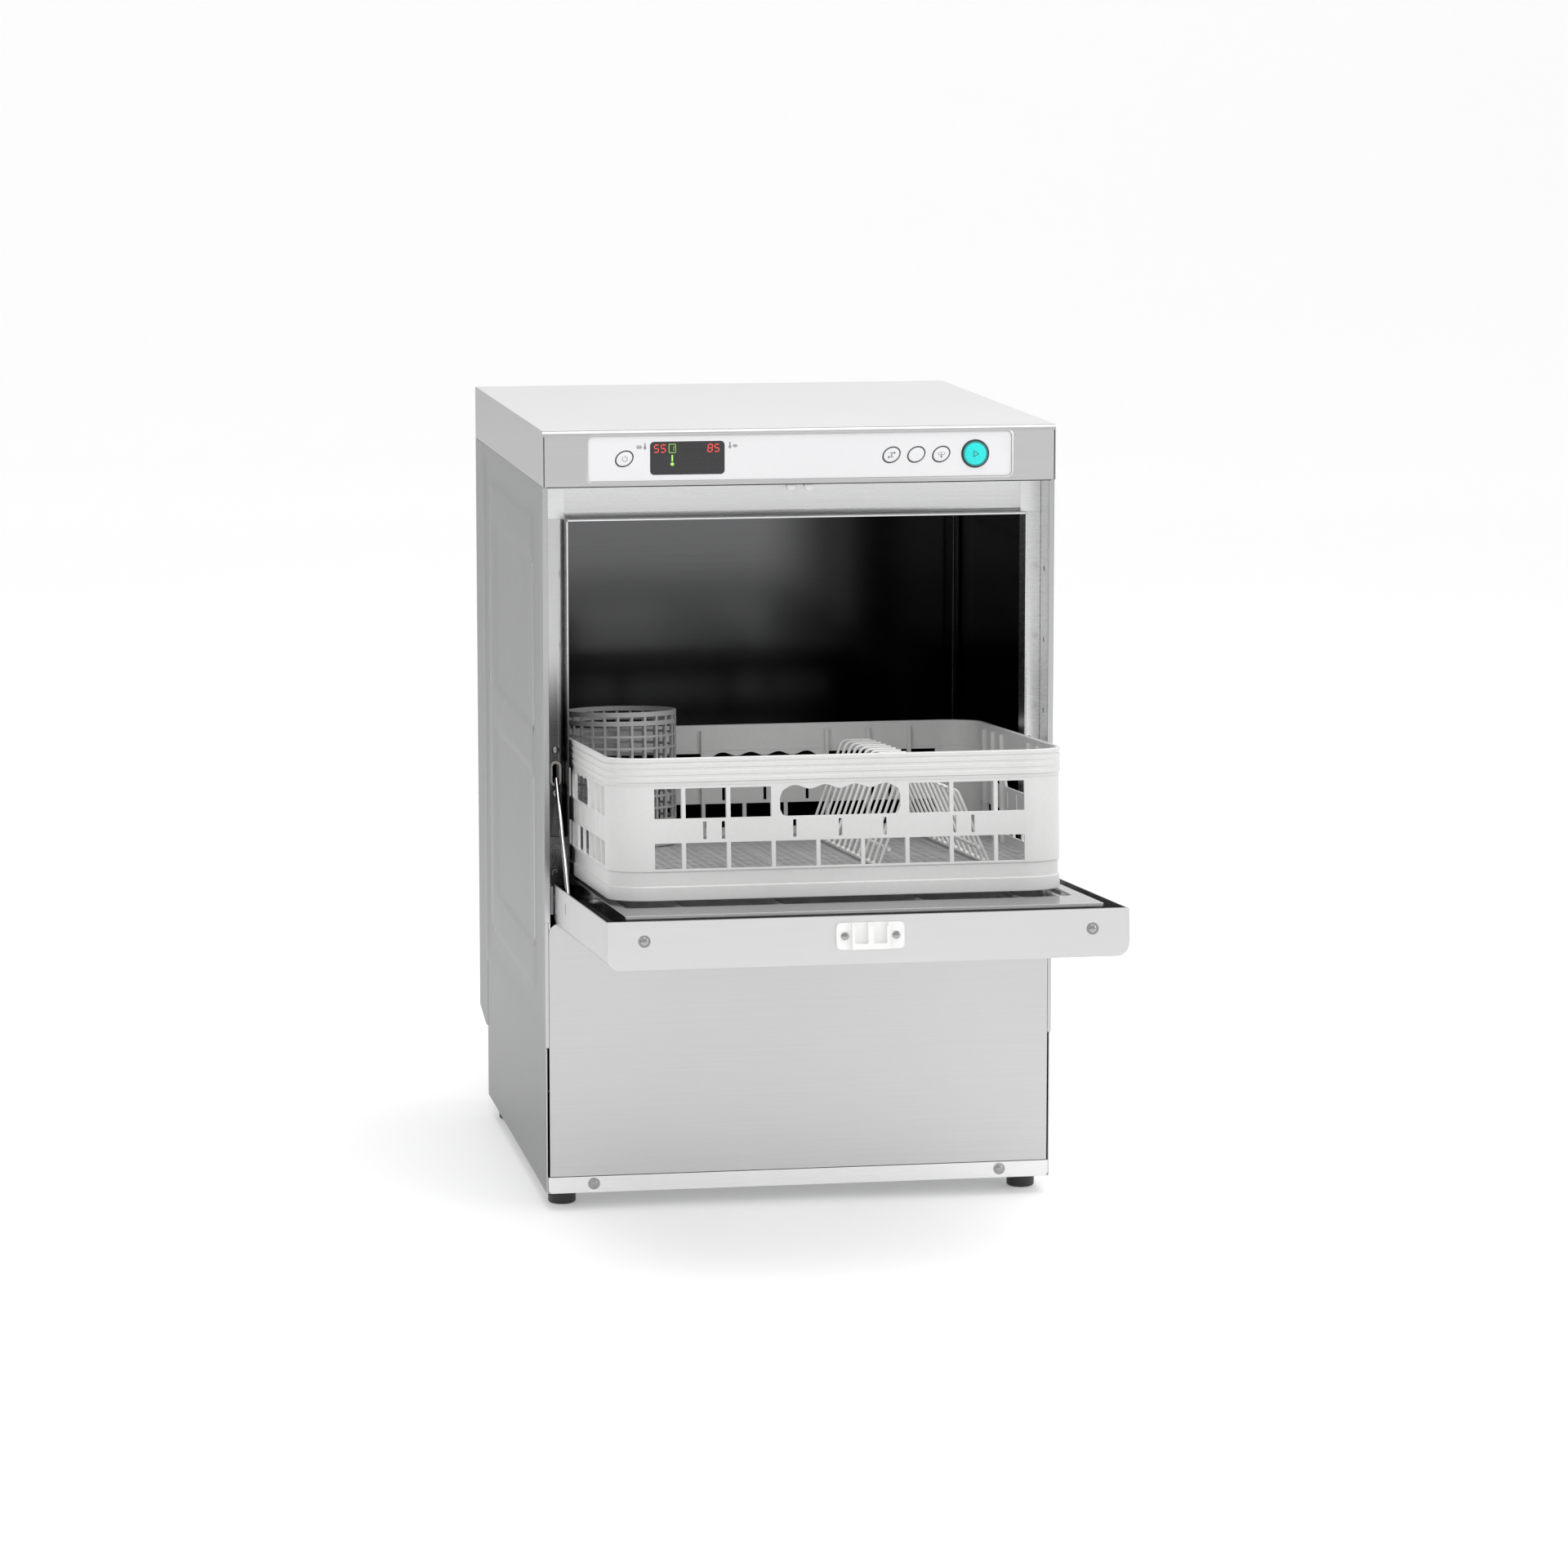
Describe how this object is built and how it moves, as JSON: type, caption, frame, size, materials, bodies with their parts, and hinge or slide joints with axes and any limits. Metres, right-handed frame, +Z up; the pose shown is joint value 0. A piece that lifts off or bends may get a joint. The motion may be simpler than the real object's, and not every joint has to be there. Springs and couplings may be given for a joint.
{
  "type": "glass washer machine",
  "caption": "Front-loading undercounter glass washer with a drop-down door, pull-out rack, spray arms and push-button controls.",
  "frame": {"origin": "on the floor, under the middle of the whole object with its door open", "axes": "+X to the right seen from the front, +Y to the back, +Z up"},
  "size_m": [0.46, 0.8624, 0.6996],
  "materials": {
    "lid_steel": "fine vertical brushing",
    "panel_steel": "fine vertical brushing",
    "service_steel": "fine horizontal brushing",
    "door_steel": "fine horizontal brushing",
    "door_liner": "bright rolled",
    "chamber_steel": "bright rolled, dark inside",
    "bracket_steel": "satin",
    "bright_metal": "bright",
    "overlay": "satin silver",
    "display": "gloss black",
    "button": "satin",
    "start_light": "lit cyan",
    "white_plastic": "smooth",
    "rack_plastic": "moulded light grey",
    "cup_plastic": "moulded grey",
    "coated_wire": "white dip coat",
    "black_rubber": "matte",
    "foot_plastic": "moulded black",
    "pump_plastic": "moulded dark grey",
    "valve_plastic": "moulded blue",
    "arm_plastic": "moulded grey blue",
    "board": "green board"
  },
  "bodies": {
    "cabinet": {"top_cover": "lid_steel", "control_overlay": "overlay", "display_window": "display", "control_tray": "pump_plastic", "control_board": "board", "catch_tabs": "white_plastic", "front_lintel": "panel_steel", "side_panel_left": "panel_steel", "side_panel_right": "panel_steel", "rear_panel": "chamber_steel", "rear_cover": "panel_steel", "chamber_ceiling": "chamber_steel", "wash_tank": "chamber_steel", "jamb_left": "bracket_steel", "jamb_right": "panel_steel", "base_pan": "panel_steel", "base_side_left": "panel_steel", "base_side_right": "panel_steel", "service_panel": "service_steel", "plinth_strip": "service_steel", "cabinet_screws": "bright_metal", "feet": "foot_plastic", "rack_rail_left": "chamber_steel", "rack_rail_right": "chamber_steel", "hinge_brackets": "bracket_steel", "slot_grommets": "white_plastic", "tank_filter": "chamber_steel", "wash_pump": "pump_plastic", "drain_pump": "pump_plastic", "boiler": "chamber_steel", "tank_heater": "bracket_steel", "inlet_valve": "valve_plastic", "drain_outlet": "pump_plastic", "cable_gland": "foot_plastic", "rinse_riser": "arm_plastic", "arm_posts": "arm_plastic", "dosing_pump": "pump_plastic"},
    "door": {"door_outer_skin": "door_steel", "door_inner_panel": "door_liner", "door_gasket": "black_rubber", "door_latch": "white_plastic", "door_screws": "bright_metal", "door_hinge_arms": "bracket_steel"},
    "rod_left": {"door_rod_left": "bright_metal"},
    "rod_right": {"door_rod_right": "bright_metal"},
    "front_feet": {"rack_front_feet": "rack_plastic"},
    "rack": {"rack_basket": "rack_plastic"},
    "cup": {"cutlery_cup": "cup_plastic"},
    "tall_insert": {"insert_tall": "coated_wire"},
    "low_insert": {"insert_low": "coated_wire"},
    "power": {"power_button": "button"},
    "programme_1": {"programme_button_1": "button"},
    "programme_2": {"programme_button_2": "button"},
    "programme_3": {"programme_button_3": "button"},
    "start": {"start_button": "start_light"},
    "lower_wash": {"lower_wash_arm": "arm_plastic"},
    "lower_rinse": {"lower_rinse_arm": "arm_plastic"},
    "upper_wash": {"upper_wash_arm": "arm_plastic"},
    "upper_rinse": {"upper_rinse_arm": "arm_plastic"},
    "overflow": {"standpipe": "pump_plastic"}
  },
  "joints": [
    {"name": "door_hinge", "type": "hinge", "parent": "cabinet", "child": "door", "pos_m": [0, -0.07427, 0.2815], "axis": [-1, 0, 0], "range_deg": [0, 86]},
    {"name": "rod_left_pivot", "type": "hinge", "parent": "door", "child": "rod_left", "pos_m": [-0.215, -0.13398, 0.28768], "axis": [-1, 0, 0], "range_deg": [-126.2, 0]},
    {"name": "rod_right_pivot", "type": "hinge", "parent": "door", "child": "rod_right", "pos_m": [0.215, -0.13398, 0.28768], "axis": [-1, 0, 0], "range_deg": [-126.2, 0]},
    {"name": "rack_feet_slide", "type": "slide", "parent": "door", "child": "front_feet", "axis": [0, 0.9976, -0.0698], "range_m": [0, 0.2225]},
    {"name": "rack_level", "type": "hinge", "parent": "front_feet", "child": "rack", "pos_m": [-0.004, -0.3075, 0.32217], "axis": [-1, 0, 0], "range_deg": [-90, 0]},
    {"name": "cup_lift", "type": "slide", "parent": "rack", "child": "cup", "axis": [0, 0.0698, 0.9976], "range_m": [0, 0.11]},
    {"name": "tall_insert_lift", "type": "slide", "parent": "rack", "child": "tall_insert", "axis": [0, 0.0698, 0.9976], "range_m": [0, 0.05]},
    {"name": "low_insert_lift", "type": "slide", "parent": "rack", "child": "low_insert", "axis": [0, 0.0698, 0.9976], "range_m": [0, 0.05]},
    {"name": "power_press", "type": "slide", "parent": "cabinet", "child": "power", "axis": [0, 1, 0], "range_m": [0, 0.0018], "stiffness_N_per_m": 600},
    {"name": "programme_1_press", "type": "slide", "parent": "cabinet", "child": "programme_1", "axis": [0, 1, 0], "range_m": [0, 0.0018], "stiffness_N_per_m": 600},
    {"name": "programme_2_press", "type": "slide", "parent": "cabinet", "child": "programme_2", "axis": [0, 1, 0], "range_m": [0, 0.0018], "stiffness_N_per_m": 600},
    {"name": "programme_3_press", "type": "slide", "parent": "cabinet", "child": "programme_3", "axis": [0, 1, 0], "range_m": [0, 0.0018], "stiffness_N_per_m": 600},
    {"name": "start_press", "type": "slide", "parent": "cabinet", "child": "start", "axis": [0, 1, 0], "range_m": [0, 0.0018], "stiffness_N_per_m": 600},
    {"name": "lower_wash_spin", "type": "hinge", "parent": "cabinet", "child": "lower_wash", "pos_m": [0, 0.16123, 0.244], "axis": [0, 0, 1], "continuous": true},
    {"name": "lower_rinse_spin", "type": "hinge", "parent": "cabinet", "child": "lower_rinse", "pos_m": [0, 0.16123, 0.262], "axis": [0, 0, 1], "continuous": true},
    {"name": "upper_wash_spin", "type": "hinge", "parent": "cabinet", "child": "upper_wash", "pos_m": [0, 0.16123, 0.611], "axis": [0, 0, 1], "continuous": true},
    {"name": "upper_rinse_spin", "type": "hinge", "parent": "cabinet", "child": "upper_rinse", "pos_m": [0, 0.16123, 0.626], "axis": [0, 0, 1], "continuous": true},
    {"name": "overflow_lift", "type": "slide", "parent": "cabinet", "child": "overflow", "axis": [0, 0, 1], "range_m": [0, 0.045]}
  ],
  "couplings": [
    {"joint": "rod_left_pivot", "follows": "door_hinge", "ratio": -1.4674},
    {"joint": "rod_right_pivot", "follows": "door_hinge", "ratio": -1.4674},
    {"joint": "rack_feet_slide", "follows": "door_hinge", "m_per_rad": 0.14824},
    {"joint": "rack_level", "follows": "door_hinge", "ratio": -1.0465}
  ]
}
